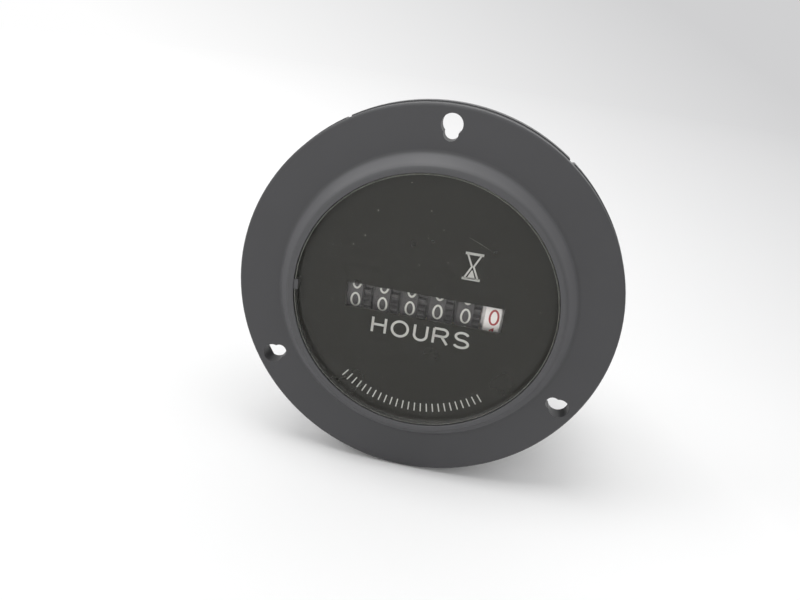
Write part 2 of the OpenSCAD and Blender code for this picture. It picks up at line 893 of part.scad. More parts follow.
module rotor_pinion() {
    x0 = magnet_x + magnet_l;
    sleeve_x1 = second_gear_x - pinion_margin;
    x1 = second_gear_x + gear_w + pinion_margin;
    gap_angle = rotor_angle + 180 + 180 / rotor_teeth;
    color("ivory")
        difference() {
            union() {
                rod_x(rotor_axis, x0, sleeve_x1, rotor_sleeve_r);
                gear_x(rotor_axis, sleeve_x1 - sink, x1, rotor_teeth, second_module, gap_angle);
            }
            rod_x(rotor_axis, x0 - past, x1 + past, rotor_arbor_r + fit_gap);
        }
}

module gear_bridge() {
    links = [
        [pillars[0], first_axis], [first_axis, pillars[1]], [first_axis, second_axis],
        [second_axis, pillars[2]], [second_axis, rotor_axis], [rotor_axis, pillars[1]]
    ];
    color("khaki")
        difference() {
            union() {
                for (l = links)
                    bar_x(l[0], l[1], bridge_x, bridge_out, 2 * (bearing_r - bar_step));
                for (p = concat(pillars, [first_axis, second_axis, rotor_axis]))
                    rod_x(p, bridge_x, bridge_out, bearing_r);
            }
            for (axis = [first_axis, second_axis])
                rod_x(axis, bridge_x - past, bridge_out + past, arbor_d / 2 + run_gap);
            rod_x(rotor_axis, bridge_x - past, bridge_out + past, rotor_arbor_r + run_gap);
            for (p = pillars)
                rod_x(p, bridge_x - past, bridge_out + past, screw_r + side_gap);
        }
}

module bridge_screws() {
    color("silver")
        for (p = pillars)
            screw_x(p, bridge_out, bridge_out - cheek_in, 1);
}

// C-shaped stator: a bar with the rotor hole and two thin necks, and an arm at each end for the core
module stator() {
    x1 = stator_x + lamination_t;
    arm_front_y = coil_y - boss_r;
    color("slategray")
        difference() {
            plate_x(stator_x, x1)
                polygon(rounded([
                    [arm_front_y, arm_low_z, arm_round],
                    [stator_back_y, arm_low_z, stator_round],
                    [stator_back_y, arm_high_z, stator_round],
                    [arm_front_y, arm_high_z, arm_round],
                    [arm_front_y, arm_high_z - arm_w, arm_round],
                    [stator_front_y, arm_high_z - arm_w, arm_round],
                    [stator_front_y, arm_low_z + arm_w, arm_round],
                    [arm_front_y, arm_low_z + arm_w, arm_round]
                ]));
            rod_x(rotor_axis, stator_x - past, x1 + past, stator_hole_r);
            for (side = [-1, 1])
                plate_x(stator_x - past, x1 + past)
                    translate([rotor_axis[0] + side * (stator_hole_r + stator_rim), rotor_axis[1]])
                        circle(r = stator_rim - stator_neck);
            for (z = arm_z)
                rod_x([coil_y, z], stator_x - past, x1 + past, screw_r + side_gap);
        }
}

// Core of the coil: a narrow bar between two wide ends that lie on the stator's arms
module coil_core() {
    color("slategray")
        difference() {
            union() {
                for (z = arm_z)
                    plate_x(core_x, stator_x)
                        polygon(rounded([
                            [coil_y - boss_r, z - arm_w / 2, arm_round],
                            [coil_y + boss_r, z - arm_w / 2, arm_round],
                            [coil_y + boss_r, z + arm_w / 2, arm_round],
                            [coil_y - boss_r, z + arm_w / 2, arm_round]
                        ]));
                coil_block(arm_z[1] - arm_z[0] - arm_w + 2 * sink, lamination_t, core_w);
            }
            for (z = arm_z)
                rod_x([coil_y, z], core_x - past, stator_x + past, screw_r + side_gap);
        }
}

// Bar along z with square corners, centred on the coil
module coil_block(l, wx, wy) {
    translate([coil_x, coil_y, coil_z])
        cube([wx, wy, l], center = true);
}

module coil_bobbin() {
    tube_x = lamination_t + 2 * (fit_gap + bobbin_wall);
    tube_y = core_w + 2 * (fit_gap + bobbin_wall);
    lug_w = 3 * pin_r;
    color("white")
        difference() {
            union() {
                coil_block(bobbin_l, tube_x, tube_y);
                for (z = pin_z) {
                    translate([coil_x, coil_y, z])
                        cylinder(h = bobbin_end_t, r = bobbin_r, center = true);
                    translate([pin_x - lug_w / 2, lug_front_y, z - bobbin_end_t / 2])
                        cube([lug_w, lug_back_y - lug_front_y, bobbin_end_t]);
                }
            }
            coil_block(bobbin_l + past, lamination_t + 2 * fit_gap, core_w + 2 * fit_gap);
            for (z = pin_z)
                rod_y([pin_x, z], lug_front_y, lug_back_y + past, pin_r + fit_gap);
        }
}

module coil_winding() {
    tube_x = lamination_t + 2 * (2 * fit_gap + bobbin_wall);
    tube_y = core_w + 2 * (2 * fit_gap + bobbin_wall);
    color("peru")
        difference() {
            translate([coil_x, coil_y, coil_z])
                cylinder(h = winding_l - 2 * fit_gap, r = winding_d / 2, center = true);
            coil_block(winding_l + past, tube_x, tube_y);
        }
}

module coil_pins() {
    color("silver")
        for (z = pin_z)
            rod_y([pin_x, z], lug_front_y + pin_r, board_back_y + pin_past, pin_r);
}

module motor_carrier() {
    plate_out = carrier_x + carrier_t;
    color("khaki")
        difference() {
            union() {
                for (z = arm_z) {
                    bar_x([coil_y, z], rotor_axis, carrier_x, plate_out, 2 * (boss_r - bar_step));
                    rod_x([coil_y, z], carrier_x, core_x, boss_r);
                }
                rod_x(rotor_axis, carrier_x, plate_out, boss_r);
            }
            rod_x(rotor_axis, carrier_x - past, plate_out + past, rotor_arbor_r + run_gap);
            for (z = arm_z)
                rod_x([coil_y, z], carrier_x - past, core_x + past, screw_r + side_gap);
        }
}

module motor_screws() {
    color("silver")
        for (z = arm_z)
            screw_x([coil_y, z], carrier_x, cheek_in - carrier_x, -1);
}

module circuit_board() {
    color("seagreen")
        difference() {
            rod_y([0, 0], board_front_y, board_back_y, board_r);
            at_posts()
                rod_y([0, 0], board_front_y - past, board_back_y + past, post_r + fit_gap);
            for (z = pin_z)
                rod_y([pin_x, z], board_front_y - past, board_back_y + past, pin_r + fit_gap);
            at_terminals()
                plate_y(board_front_y - past, board_back_y + past)
                    square([blade_t + 2 * fit_gap, tab_w + 2 * fit_gap], center = true);
        }
}

// Dual-in-line chip, standing a little off the board on four legs a side
module timing_chip() {
    chip_w = 6.4;
    chip_t = 3;
    chip_l = 9.4;
    stand = 0.5;
    leg_t = 0.3;
    leg_w = 0.5;
    leg_l = 2;
    leg_pitch = 2.54;
    color([0.12, 0.12, 0.13])
        translate([chip_at[0], board_front_y, chip_at[1]]) {
            translate([-chip_w / 2, -chip_t - stand, -chip_l / 2])
                cube([chip_w, chip_t, chip_l]);
            for (side = [0, 1])
                mirror([side, 0, 0])
                    for (i = [-1.5:1:1.5])
                        translate([chip_w / 2 - sink, -leg_l, i * leg_pitch - leg_w / 2])
                            cube([leg_t + sink, leg_l, leg_w]);
        }
}

// Quartz crystal in a flat can with round ends, on a wider base
module quartz_crystal() {
    can_h = 3.4;
    can_w = 4;
    can_l = 10;
    base_t = 0.5;
    base_lip = 0.4;
    color("lightgray")
        translate([crystal_at[0], 0, crystal_at[1]]) {
            plate_y(board_front_y - can_h, board_front_y)
                slot_shape(can_l, can_w);
            plate_y(board_front_y - base_t, board_front_y)
                slot_shape(can_l + 2 * base_lip, can_w + 2 * base_lip);
        }
}

// Electrolytic capacitor standing on the board, with the crimp near its foot
module reservoir_capacitor() {
    can_r = 3.15;
    foot_round = 0.2;
    top_round = 0.4;
    can_h = 9;
    crimp_rise = 1.6;
    crimp_depth = 0.25;
    crimp_half_w = 0.5;
    crimp_y = board_front_y - crimp_rise;
    top_y = board_front_y - can_h;
    color("midnightblue")
        translate([capacitor_at[0], 0, capacitor_at[1]])
            about_y(rounded([
                [0, board_front_y, 0],
                [can_r, board_front_y, foot_round],
                [can_r, crimp_y + crimp_half_w, 0],
                [can_r - crimp_depth, crimp_y, 0],
                [can_r, crimp_y - crimp_half_w, 0],
                [can_r, top_y, top_round],
                [0, top_y, 0]
            ]));
}

// Four axial diodes in a row, each lying on the board
module rectifier_diodes() {
    diode_r = 1.3;
    diode_l = 5;
    diode_pitch = 3.2;
    color([0.18, 0.18, 0.2])
        for (i = [-1.5:1:1.5])
            translate([diode_at[0] + i * diode_pitch, board_front_y - diode_r, diode_at[1]])
                cylinder(h = diode_l, r = diode_r, center = true);
}

// Two chip resistors, one above the other
module series_resistors() {
    resistor_l = 3.2;
    resistor_t = 0.6;
    resistor_w = 1.6;
    color([0.1, 0.1, 0.1])
        for (side = [-1, 1])
            translate([resistor_at[0], board_front_y - resistor_t / 2, resistor_at[1] + side * resistor_w])
                cube([resistor_l, resistor_t, resistor_w], center = true);
}

// Blade terminal: a tab through the board, a shoulder inside the back wall and a blade with a locking hole
module terminal(side) {
    shoulder = 0.8;
    shoulder_w = blade_w + 2 * shoulder;
    tip = 1;
    lock_d = 1.7;
    tab_y = board_front_y - tab_past;
    tip_y = body_depth + blade_l;
    half = [
        [tab_y, tab_w / 2],
        [board_back_y, tab_w / 2],
        [board_back_y, shoulder_w / 2],
        [back_in_y, shoulder_w / 2],
        [back_in_y, blade_w / 2],
        [tip_y - tip, blade_w / 2],
        [tip_y, blade_w / 2 - tip]
    ];
    other_half = [for (i = [len(half) - 1:-1:0]) [half[i][0], -half[i][1]]];
    color("gold")
        translate([side * blade_pitch / 2 - blade_t / 2, 0, 0])
            difference() {
                plate_x(0, blade_t)
                    polygon(concat(half, other_half));
                rod_x([tip_y - blade_w / 2, 0], -past, blade_t + past, lock_d / 2);
            }
}

module terminal_left() {
    terminal(-1);
}

module terminal_right() {
    terminal(1);
}

bezel();
lens();
dial_plate();
case();
counter_frame();
frame_screws();
wheel_shaft();
tenths_wheel();
units_wheel();
tens_wheel();
hundreds_wheel();
thousands_wheel();
ten_thousands_wheel();
pinion_shaft();
transfer_pinion_1();
transfer_pinion_2();
transfer_pinion_3();
transfer_pinion_4();
transfer_pinion_5();
first_arbor();
first_pinion();
first_gear();
second_arbor();
second_gear();
rotor_arbor();
rotor_pinion();
rotor_magnet();
gear_bridge();
bridge_screws();
stator();
coil_core();
coil_bobbin();
coil_winding();
coil_pins();
motor_carrier();
motor_screws();
circuit_board();
timing_chip();
quartz_crystal();
reservoir_capacitor();
rectifier_diodes();
series_resistors();
terminal_left();
terminal_right();
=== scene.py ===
"""Looks of a panel hour meter: finishes, print, lens, stage, light and camera."""

import json
import math
import random

import bpy
from mathutils import Matrix, Vector


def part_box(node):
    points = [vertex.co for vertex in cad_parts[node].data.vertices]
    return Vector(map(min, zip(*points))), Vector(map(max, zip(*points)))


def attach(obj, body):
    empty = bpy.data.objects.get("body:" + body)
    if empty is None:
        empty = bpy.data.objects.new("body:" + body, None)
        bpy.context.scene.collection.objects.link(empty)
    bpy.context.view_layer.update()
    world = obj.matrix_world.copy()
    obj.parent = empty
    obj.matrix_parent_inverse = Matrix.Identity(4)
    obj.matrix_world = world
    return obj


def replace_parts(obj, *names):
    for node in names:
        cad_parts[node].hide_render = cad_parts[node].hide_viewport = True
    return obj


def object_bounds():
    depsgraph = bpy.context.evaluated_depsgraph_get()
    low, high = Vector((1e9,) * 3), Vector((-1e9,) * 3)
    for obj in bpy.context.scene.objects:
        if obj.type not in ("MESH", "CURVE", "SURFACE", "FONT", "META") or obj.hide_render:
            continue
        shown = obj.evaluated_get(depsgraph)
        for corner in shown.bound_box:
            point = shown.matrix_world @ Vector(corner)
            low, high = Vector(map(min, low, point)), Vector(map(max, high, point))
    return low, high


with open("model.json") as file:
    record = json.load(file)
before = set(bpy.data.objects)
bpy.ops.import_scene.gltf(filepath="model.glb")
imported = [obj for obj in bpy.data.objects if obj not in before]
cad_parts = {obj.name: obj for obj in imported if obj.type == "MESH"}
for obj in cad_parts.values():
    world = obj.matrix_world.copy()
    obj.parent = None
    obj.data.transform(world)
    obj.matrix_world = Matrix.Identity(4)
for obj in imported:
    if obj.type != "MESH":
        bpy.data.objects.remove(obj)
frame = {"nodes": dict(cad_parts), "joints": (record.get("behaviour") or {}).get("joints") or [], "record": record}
cad_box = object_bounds()
MM = 0.001
SEED = 7

# Places taken from the frame
JOINTS = {joint["name"]: joint for joint in frame["joints"]}
WHEELS = ["ten_thousands", "thousands", "hundreds", "tens", "units", "tenths"]
WHEEL_AXIS = Vector(JOINTS["tenths_wheel_turn"]["pos_m"])
WHEEL_LOW, WHEEL_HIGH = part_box("tenths_wheel")
DRUM_R = (WHEEL_HIGH.z - WHEEL_LOW.z) / 2
DIAL_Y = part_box("dial_plate")[0].y
LENS_LOW, LENS_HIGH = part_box("lens")
LENS_Y = LENS_LOW.y
LENS_R = LENS_HIGH.z
FLOOR_Z = cad_box[0].z

# Printing: how far ink stands out of its surface and reaches into it, then how strokes are traced
INK = 0.02 * MM
INK_SINK = 0.01 * MM
STROKE_STEP = 0.25 * MM
ARC_STEP = math.radians(9)
SAME_POINT = 1e-7
CLOSING_GAP = 1e-6
MITRE_LEAST = 0.5

# Digits, with their middle measured from the left side of a wheel, and the tilt of each zero
DIGIT_FROM_LEFT = 2.25 * MM
DIGIT_W = 1.88 * MM
DIGIT_H = 3.1 * MM
DIGIT_STROKE = 0.36 * MM
DIGIT_TURN = math.radians(36)
ZERO_TILT = {
    "ten_thousands": -12.9, "thousands": -13.3, "hundreds": -11.6,
    "tens": -8.7, "units": -6.8, "tenths": 0.2,
}

# Lettering on the dial: each letter with its width in mm, then what all letters share
WORD = [("H", 2.85), ("O", 3.4), ("U", 2.75), ("R", 3.1), ("S", 3.0)]
WORD_GAP = 0.78 * MM
WORD_H = 3.36 * MM
WORD_STROKE = 0.46 * MM
WORD_AT = Vector((0.1, 0, -5.5)) * MM

# Hourglass sign, its inner measures as shares of half its width or height
GLASS_AT = Vector((7.4, 0, 8.6)) * MM
GLASS_W = 3.2 * MM
GLASS_H = 4.6 * MM
GLASS_BULB = 0.78
GLASS_NECK = 0.1
GLASS_WALL_HALF = WORD_STROKE / 3
HEAP_FOOT = 0.48
HEAP_PEAK = 0.05
HEAP_LEVEL = -0.3

# Ticks along the foot of the dial
TICK_R = (19.9 * MM, 21.6 * MM)
TICK_W = 0.22 * MM
TICK_SPAN = math.radians(38)
TICK_COUNT = 25

# Lens: its key notch, bevel, depth in the dial, and the section of its cut edge,
# in mm outward and back from the rim of the front
KEY_HALF = 1.05 * MM
KEY_R = 22.95 * MM
LENS_BEVEL = 0.18 * MM
LENS_SINK = 0.03 * MM
LENS_STEPS = 180
CUT_EDGE = [(-0.2, -0.008), (0.006, 0.198), (-0.03, 0.21), (-0.22, 0.02)]

# Wear on the front of the lens, in mm: flecks of dust, as place and radius, and one scratch
DUST = [
    (-10.06, 16.05, 0.13), (-11.83, 11.29, 0.12), (-13.7, 9.36, 0.09),
    (-17.34, 8.7, 0.08), (-1.73, 7.61, 0.09), (-4.99, 21.7, 0.08),
]
DUST_COUNT = 16
DUST_R = (0.04, 0.09)
DUST_REACH = 21 * MM
FLECK_SIDES = 7
FLECK_UNEVEN = (0.6, 1.3)
FLECK_RISE = 0.4
SCRATCH = [(5.96, 14.05), (8.1, 13.2), (10.3, 12.21)]
SCRATCH_W = [0.015, 0.05, 0.015]

# Colours, and the places in a range of 0 to 1 between which a ramp runs
FULL = 255
BLACK = (0, 0, 0, 1)
WHITE = (1, 1, 1, 1)
WHOLE = (0, 1)
MOST = (0.1, 0.9)
MIDDLE = (0.3, 0.7)
NOISE_ROUGH = 0.55

# Plastic: its moulded grain, and clouds that change its tone and roughness
PLASTIC_IOR = 1.49
GRAIN = 0.25 * MM
GRAIN_DEPTH = 0.006 * MM
CLOUD = 9 * MM
CLOUD_ROUGH = 0.06

# Bezel: its grey from the top of the raised ring down the slope to the flange, by radius in mm, with a little blue
# added:
# painted sheen makes the slope lighter, and painted shade darkens a band near the top of the ring and the foot of
# the slope
BEZEL_SHEEN_AND_SHADE = [(24.4, 71), (24.9, 67), (25.5, 88), (26.5, 88), (27.1, 54), (27.7, 57)]
BEZEL_BLUE = 2
BEZEL_CLOUD = (0.9, 0.9, 0.9, 1)
BEZEL_ROUGH = (0.4, 0.5)

# Metal: streaks left by the tool, and a film on top
STREAK = 0.4 * MM
STREAK_DEPTH = 0.0002 * MM
STREAK_ROUGH = 0.02
FILM = 3 * MM
FILM_TONE = 0.05

# Ink, rough plastic, and the wire of the coil, with tones as shares darker and lighter
INK_PATCH = 0.5 * MM
INK_TONE = (0.08, 0.04)
INK_ROUGH = 0.5
FROST_PATCH = 0.8 * MM
FROST_TONE = (0.15, 0.1)
FROST_ROUGH = (0.6, 0.8)
WIRE_D = 0.12 * MM
WIRE_WAVES = 20
WIRE_STRAY = 0.4
WIRE_DEPTH = 0.03 * MM
# painted shade: the wire darker in the grooves between turns, a little lighter on their crowns
WIRE_GROOVE_SHADE = (0.5, 0.1)
WIRE_COAT = 0.6
WIRE_PATCH = 2 * MM
WIRE_ROUGH = (0.28, 0.42)

# Clear acrylic: smears, their two tints, and where its depth turns from dull to shiny
SMEAR = 7 * MM
SMEAR_TINTS = ((0.94, 0.94, 0.91, 1), (1, 1, 0.98, 1))
SHINE_TURN = (0.4, 0.6)

# Light: strength of the surroundings, and lamps as direction, strength and width in degrees
AMBIENT = 0.6
LAMPS = [
    ("key_left", Vector((-0.75, -0.05, 0.7)), 0.6, 35),
    ("key_middle", Vector((-0.2, -0.1, 1)), 0.85, 32),
    ("key_right", Vector((0.35, -0.15, 0.95)), 0.3, 35),
    ("front", Vector((-0.3, -1, 0.25)), 0.75, 60),
]

# Floor and backdrop: size, surface, where the floor fades out,
# and the way in which painted shade turns both from white to grey
FLOOR_R = 3.0
FLOOR_STEPS = 96
FLOOR_WHITE = 247
FLOOR_ROUGH = 0.9
FLOOR_GLOSS = 0.2
FLOOR_GRAIN = 2 * MM
FLOOR_DEPTH = 0.02 * MM
FLOOR_FADE = (0.25, 1.2)
GREY_WAY = Vector((1, 0, 2))
GREY_SPAN = (-0.6, 0.3)
GREY = (208, 208, 209)

# Camera: place, aim point, roll and optics
CAMERA_AT = Vector((8.87, -123.1, 45.81)) * MM
CAMERA_AIM = Vector((-4.51, -5.6, -0.33)) * MM
CAMERA_ROLL = math.radians(8.0)
CAMERA_LENS = 31.5
CAMERA_SENSOR = 36
CAMERA_NEAR = 5 * MM


def srgb(r, g, b):
    """Linear colour of an sRGB colour with channels from 0 to 255."""
    def linear(c):
        c /= FULL
        return c / 12.92 if c <= 0.04045 else ((c + 0.055) / 1.055) ** 2.4
    return (linear(r), linear(g), linear(b), 1.0)


def shade(colour, share):
    """A colour made lighter or darker by a share of itself."""
    return tuple(min(1.0, c * (1 + share)) for c in colour[:3]) + (1.0,)


class Nodes:
    """The node tree of a material or world, with short ways to add nodes and links."""

    def __init__(self, owner, output):
        owner.use_nodes = True
        self.owner = owner
        self.tree = owner.node_tree
        self.tree.nodes.clear()
        self.out = self.add(output)

    def add(self, kind, values=None, **settings):
        """A new node with the given settings, and fixed values on the inputs named."""
        node = self.tree.nodes.new("ShaderNode" + kind)
        for key, setting in settings.items():
            setattr(node, key, setting)
        for key, value in (values or {}).items():
            node.inputs[key].default_value = value
        return node

    def link(self, source, target):
        self.tree.links.new(source, target)

    def coords(self):
        return self.add("TexCoord").outputs["Object"]

    def vector(self, operation, source, other=None):
        """Arithmetic on a vector, with a fixed second vector where it takes one."""
        node = self.add("VectorMath", operation=operation)
        self.link(source, node.inputs[0])
        if other is not None:
            node.inputs[1].default_value = other
        number = operation in ("LENGTH", "DOT_PRODUCT")
        return node.outputs["Value" if number else "Vector"]

    def noise(self, size, detail=3.0, coords=None):
        """Noise whose blotches are about size metres across."""
        values = {"Scale": 1 / size, "Detail": detail, "Roughness": NOISE_ROUGH}
        node = self.add("TexNoise", values)
        self.link(coords or self.coords(), node.inputs["Vector"])
        return node.outputs["Fac"]

    def span(self, fac, low, high, at=MIDDLE):
        """Number from low to high as fac goes between the two places."""
        ends = {"From Min": at[0], "From Max": at[1], "To Min": low, "To Max": high}
        node = self.add("MapRange", ends)
        self.link(fac, node.inputs["Value"])
        return node.outputs["Result"]

    def ramp(self, fac, low, high, at=MIDDLE):
        """Colour from low to high as fac goes between the two places."""
        node = self.add("ValToRGB")
        for stop, place, colour in zip(node.color_ramp.elements, at, (low, high)):
            stop.position = place
            stop.color = colour
        self.link(fac, node.inputs["Fac"])
        return node.outputs["Color"]

    def tint(self, fac, colour, darker, lighter, at=MIDDLE):
        """A colour from one share darker to another share lighter."""
        return self.ramp(fac, shade(colour, -darker), shade(colour, lighter), at)

    def tones(self, fac, greys):
        """Greys through which the colour goes as fac passes the place of each."""
        first, last = greys[0][0], greys[-1][0]
        node = self.add("ValToRGB")
        stops = node.color_ramp.elements
        for place, _ in greys[1:-1]:
            stops.new((place - first) / (last - first))
        for stop, (_, grey) in zip(stops, greys):
            stop.color = srgb(grey, grey, grey + BEZEL_BLUE)
        self.link(self.span(fac, 0, 1, at=(first * MM, last * MM)), node.inputs["Fac"])
        return node.outputs["Color"]

    def backdrop(self, way, white=FULL):
        """White that painted shade turns a little grey to the upper right, by the way from the camera."""
        lean = self.span(self.vector("DOT_PRODUCT", way, GREY_WAY), 0, 1, at=GREY_SPAN)
        grey = srgb(*(c * white / FULL for c in GREY))
        return self.ramp(lean, srgb(white, white, white), grey, at=WHOLE)

    def bump(self, height, depth):
        node = self.add("Bump", {"Distance": depth})
        self.link(height, node.inputs["Height"])
        return node.outputs["Normal"]

    def surface(self, values, sources):
        """A principled shader with values on some of its inputs and sources on others."""
        node = self.add("BsdfPrincipled", values)
        for key, source in sources.items():
            self.link(source, node.inputs[key])
        return node

    def mix(self, fac, first, second):
        """One shader at 0 and the other at 1."""
        node = self.add("MixShader")
        self.link(fac, node.inputs["Fac"])
        self.link(first.outputs[0], node.inputs[1])
        self.link(second.outputs[0], node.inputs[2])
        return node

    def done(self, shader):
        """Puts the shader on the output, and gives back the material or world."""
        self.link(shader.outputs[0], self.out.inputs["Surface"])
        return self.owner


def new_material(name):
    return Nodes(bpy.data.materials.new(name), "OutputMaterial")


def plastic(name, colour, rough, grain=GRAIN, depth=GRAIN_DEPTH, vary=0.1):
    """Moulded plastic: a fine moulded grain, with faint cloudy changes of tone and gloss."""
    n = new_material(name)
    cloud = n.noise(CLOUD)
    return n.done(n.surface({"IOR": PLASTIC_IOR}, {
        "Base Color": n.tint(cloud, colour, vary, vary, at=MOST),
        "Roughness": n.span(cloud, rough - CLOUD_ROUGH, rough + CLOUD_ROUGH, at=MOST),
        "Normal": n.bump(n.noise(grain, detail=2), depth),
    }))


def bezel_plastic(name):
    """Black plastic with a fine moulded grain, its raised ring painted lighter than the flange as a painted sheen,
    with bands of painted shade.
    """
    n = new_material(name)
    radius = n.vector("LENGTH", n.vector("MULTIPLY", n.coords(), (1, 0, 1)))
    cloud = n.noise(CLOUD)
    tone = n.add("MixRGB", {"Fac": 1}, blend_type="MULTIPLY")
    # painted sheen on the slope and painted shade near the top of the ring and at the foot of the slope, by radius
    n.link(n.tones(radius, BEZEL_SHEEN_AND_SHADE), tone.inputs[1])
    n.link(n.ramp(cloud, BEZEL_CLOUD, WHITE), tone.inputs[2])
    return n.done(n.surface({"IOR": PLASTIC_IOR}, {
        "Base Color": tone.outputs[0],
        "Roughness": n.span(cloud, *BEZEL_ROUGH),
        "Normal": n.bump(n.noise(GRAIN, detail=2), GRAIN_DEPTH),
    }))


def metal(name, colour, rough, streak=(0.02, 1, 1)):
    """Worked metal: streaks along the way it was drawn or turned, and a film in patches."""
    n = new_material(name)
    stretch = n.add("Mapping", {"Scale": streak})
    n.link(n.coords(), stretch.inputs["Vector"])
    lines = n.noise(STREAK, detail=2, coords=stretch.outputs[0])
    return n.done(n.surface({"Metallic": 1}, {
        "Base Color": n.tint(n.noise(FILM), colour, FILM_TONE, FILM_TONE),
        "Roughness": n.span(lines, rough - STREAK_ROUGH, rough + STREAK_ROUGH, at=WHOLE),
        "Normal": n.bump(lines, STREAK_DEPTH),
    }))


def ink(name, colour):
    """Printed ink, a little uneven in cover."""
    n = new_material(name)
    cover = n.tint(n.noise(INK_PATCH), colour, *INK_TONE)
    return n.done(n.surface({"Roughness": INK_ROUGH}, {"Base Color": cover}))


def winding(name, colour):
    """Enamelled copper wire, its turns lying side by side along the coil, with painted shade in the grooves
    between them.
    """
    n = new_material(name)
    wire = n.add(
        "TexWave", {"Scale": 1 / (WIRE_WAVES * WIRE_D), "Distortion": WIRE_STRAY},
        wave_type="BANDS", bands_direction="Z", wave_profile="SIN",
    )
    n.link(n.coords(), wire.inputs["Vector"])
    turns = wire.outputs["Fac"]
    return n.done(n.surface({"Metallic": 1, "Coat Weight": WIRE_COAT}, {
        # painted shade in the grooves between turns, following the same bands as the bump
        "Base Color": n.tint(turns, colour, *WIRE_GROOVE_SHADE),
        "Roughness": n.span(n.noise(WIRE_PATCH), *WIRE_ROUGH),
        "Normal": n.bump(turns, WIRE_DEPTH),
    }))


def clear_lens(name):
    """Clear acrylic with faint smears, which lets lamps through and shines at its back."""
    n = new_material(name)
    axes = n.add("SeparateXYZ")
    n.link(n.coords(), axes.inputs[0])
    depth = n.span(axes.outputs["Y"], 0, 1, at=(LENS_Y, DIAL_Y))
    clear = n.surface({"Transmission Weight": 1, "IOR": PLASTIC_IOR, "Roughness": 0}, {
        "Base Color": n.ramp(n.noise(SMEAR, detail=5), *SMEAR_TINTS, at=WHOLE),
        "Specular Tint": n.ramp(depth, BLACK, WHITE, at=SHINE_TURN),
    })
    shadow = n.add("LightPath").outputs["Is Shadow Ray"]
    return n.done(n.mix(shadow, clear, n.add("BsdfTransparent")))


def frosted(name, colour):
    """Rough pale plastic, as cut or scratched acrylic and dust look."""
    n = new_material(name)
    patches = n.noise(FROST_PATCH)
    return n.done(n.surface({"IOR": PLASTIC_IOR}, {
        "Base Color": n.tint(patches, colour, *FROST_TONE),
        "Roughness": n.span(patches, *FROST_ROUGH),
    }))


def finishes():
    """One material for each of the record's slots."""
    return {
        "bezel": bezel_plastic("bezel_plastic"),
        "case": plastic("case_plastic", srgb(74, 74, 76), 0.45, vary=0.06),
        "lens": clear_lens("clear_acrylic"),
        "dial": plastic(
            "dial_black", srgb(32, 31, 26), 0.3, grain=2 * MM, depth=0.001 * MM, vary=0.05,
        ),
        "frame": plastic("frame_plastic", srgb(205, 204, 200), 0.5),
        "steel": metal("drawn_steel", srgb(196, 197, 200), 0.3),
        "white_wheel": plastic("white_wheel", srgb(250, 246, 247), 0.45, vary=0.02),
        "black_wheel": plastic("black_wheel", srgb(63, 60, 63), 0.45),
        "natural_acetal": plastic("natural_acetal", srgb(222, 212, 190), 0.4, vary=0.05),
        "brass": metal("turned_brass", srgb(206, 172, 96), 0.3),
        "magnet": plastic("ferrite", srgb(58, 58, 61), 0.5, grain=0.12 * MM),
        "lamination": metal("lamination_steel", srgb(150, 152, 156), 0.4, streak=(1, 1, 0.05)),
        "bobbin": plastic("bobbin_nylon", srgb(226, 223, 214), 0.5, vary=0.05),
        "copper": winding("copper_winding", srgb(190, 106, 58)),
        "board": plastic("board_lacquer", srgb(40, 110, 62), 0.3, grain=0.5 * MM, vary=0.12),
        "chip": plastic("black_epoxy", srgb(38, 38, 40), 0.6, grain=0.1 * MM),
        "crystal_can": metal("crystal_can", srgb(200, 200, 202), 0.28),
        "capacitor_can": plastic("sleeve_blue", srgb(38, 52, 100), 0.3, vary=0.08),
        "blade": metal("tinned_brass", srgb(214, 209, 194), 0.28, streak=(1, 0.04, 1)),
        "white_print": ink("white_ink", srgb(212, 212, 208)),
        "red_print": ink("red_ink", srgb(176, 58, 62)),
    }


# Strokes of a glyph, in a box that reaches from -1 to 1 both ways, with angles in degrees
def line(*points):
    return ("line", points)


def arc(cx, cy, rx, ry, start, end):
    return ("arc", (cx, cy, rx, ry, start, end))


GLYPHS = {
    "0": [[arc(0, 0, 1, 1, 0, 360)]],
    "1": [[line((-0.55, 0.6), (0.2, 1), (0.2, -1))]],
    "2": [[arc(0, 0.42, 1, 0.58, 170, -35), line((-1, -1), (1, -1))]],
    "3": [[arc(0, 0.5, 0.9, 0.5, 155, -90)], [arc(0, -0.5, 1, 0.5, 90, -155)]],
    "4": [[line((0.45, -1), (0.45, 1), (-1, -0.4), (1, -0.4))]],
    "5": [[line((0.85, 1), (-0.7, 1), (-0.85, 0.05)), arc(0, -0.36, 1, 0.64, 130, -155)]],
    "6": [[arc(0, -0.38, 1, 0.62, 0, 360)], [arc(0, 0, 1, 1, 28, 180), line((-1, -0.38))]],
    "7": [[line((-1, 1), (1, 1), (-0.3, -1))]],
    "8": [[arc(0, 0.5, 0.85, 0.5, 0, 360)], [arc(0, -0.48, 1, 0.52, 0, 360)]],
    "9": [[arc(0, 0.38, 1, 0.62, 0, 360)], [line((1, 0.38)), arc(0, 0, 1, 1, 0, -152)]],
    "H": [[line((-1, -1), (-1, 1))], [line((1, -1), (1, 1))], [line((-1, 0.06), (1, 0.06))]],
    "O": [[arc(0, 0, 1, 1, 0, 360)]],
    "U": [[line((-1, 1), (-1, -0.3)), arc(0, -0.3, 1, 0.7, 180, 360), line((1, 1))]],
    "R": [
        [line((-1, -1), (-1, 1))],
        [line((-1, 1), (0.25, 1)), arc(0.25, 0.5, 0.65, 0.5, 90, -90), line((-1, 0))],
        [line((0.1, 0), (1, -1))],
    ],
    "S": [[arc(0, 0.5, 0.9, 0.5, 20, 250), arc(0, -0.5, 1, 0.5, 75, -160)]],
}


